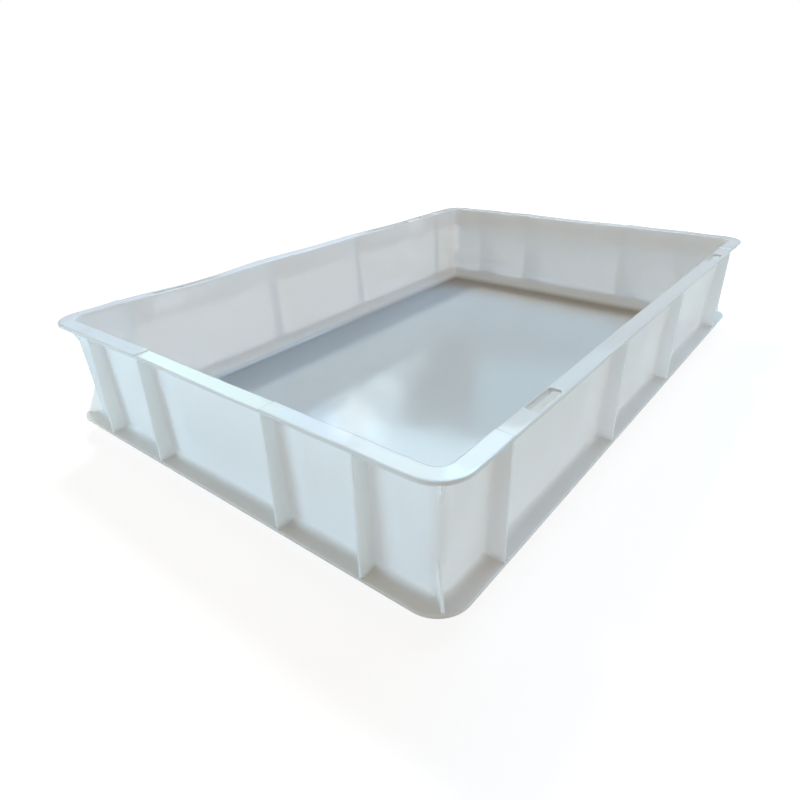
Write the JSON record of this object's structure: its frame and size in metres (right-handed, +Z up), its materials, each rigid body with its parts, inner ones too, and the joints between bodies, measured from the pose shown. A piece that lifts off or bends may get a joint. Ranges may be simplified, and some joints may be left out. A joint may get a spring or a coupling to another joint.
{
  "type": "dough box",
  "caption": "Shallow open rectangular dough box with a flat rim, a foot flange above a stacking base, upright outside ribs, corner gussets and slots through the long rims.",
  "frame": {"origin": "on the table under the middle of the box", "axes": "+X along the long sides, +Y along the short sides towards the back, +Z up"},
  "size_m": [0.6, 0.4, 0.1052],
  "materials": {
    "moulding": "natural polypropylene, injection moulded, semi-gloss and slightly translucent"
  },
  "bodies": {
    "root": {"back_foot_flange": "moulding", "back_left_foot_corner": "moulding", "back_left_foot_gusset": "moulding", "back_left_rim_corner": "moulding", "back_left_rim_gusset": "moulding", "back_left_wall_corner": "moulding", "back_rib_1": "moulding", "back_rib_2": "moulding", "back_rib_3": "moulding", "back_rib_4": "moulding", "back_right_foot_corner": "moulding", "back_right_foot_gusset": "moulding", "back_right_rim_corner": "moulding", "back_right_rim_gusset": "moulding", "back_right_wall_corner": "moulding", "back_rim_land": "moulding", "back_wall": "moulding", "floor_panel": "moulding", "front_foot_flange": "moulding", "front_left_foot_corner": "moulding", "front_left_foot_gusset": "moulding", "front_left_rim_corner": "moulding", "front_left_rim_gusset": "moulding", "front_left_wall_corner": "moulding", "front_rib_1": "moulding", "front_rib_2": "moulding", "front_rib_3": "moulding", "front_rib_4": "moulding", "front_right_foot_corner": "moulding", "front_right_foot_gusset": "moulding", "front_right_rim_corner": "moulding", "front_right_rim_gusset": "moulding", "front_right_wall_corner": "moulding", "front_rim_land": "moulding", "front_wall": "moulding", "left_foot_flange": "moulding", "left_rib_1": "moulding", "left_rib_2": "moulding", "left_rib_3": "moulding", "left_rib_4": "moulding", "left_rim_land": "moulding", "left_wall": "moulding", "right_foot_flange": "moulding", "right_rib_1": "moulding", "right_rib_2": "moulding", "right_rib_3": "moulding", "right_rib_4": "moulding", "right_rim_land": "moulding", "right_wall": "moulding"}
  },
  "joints": []
}
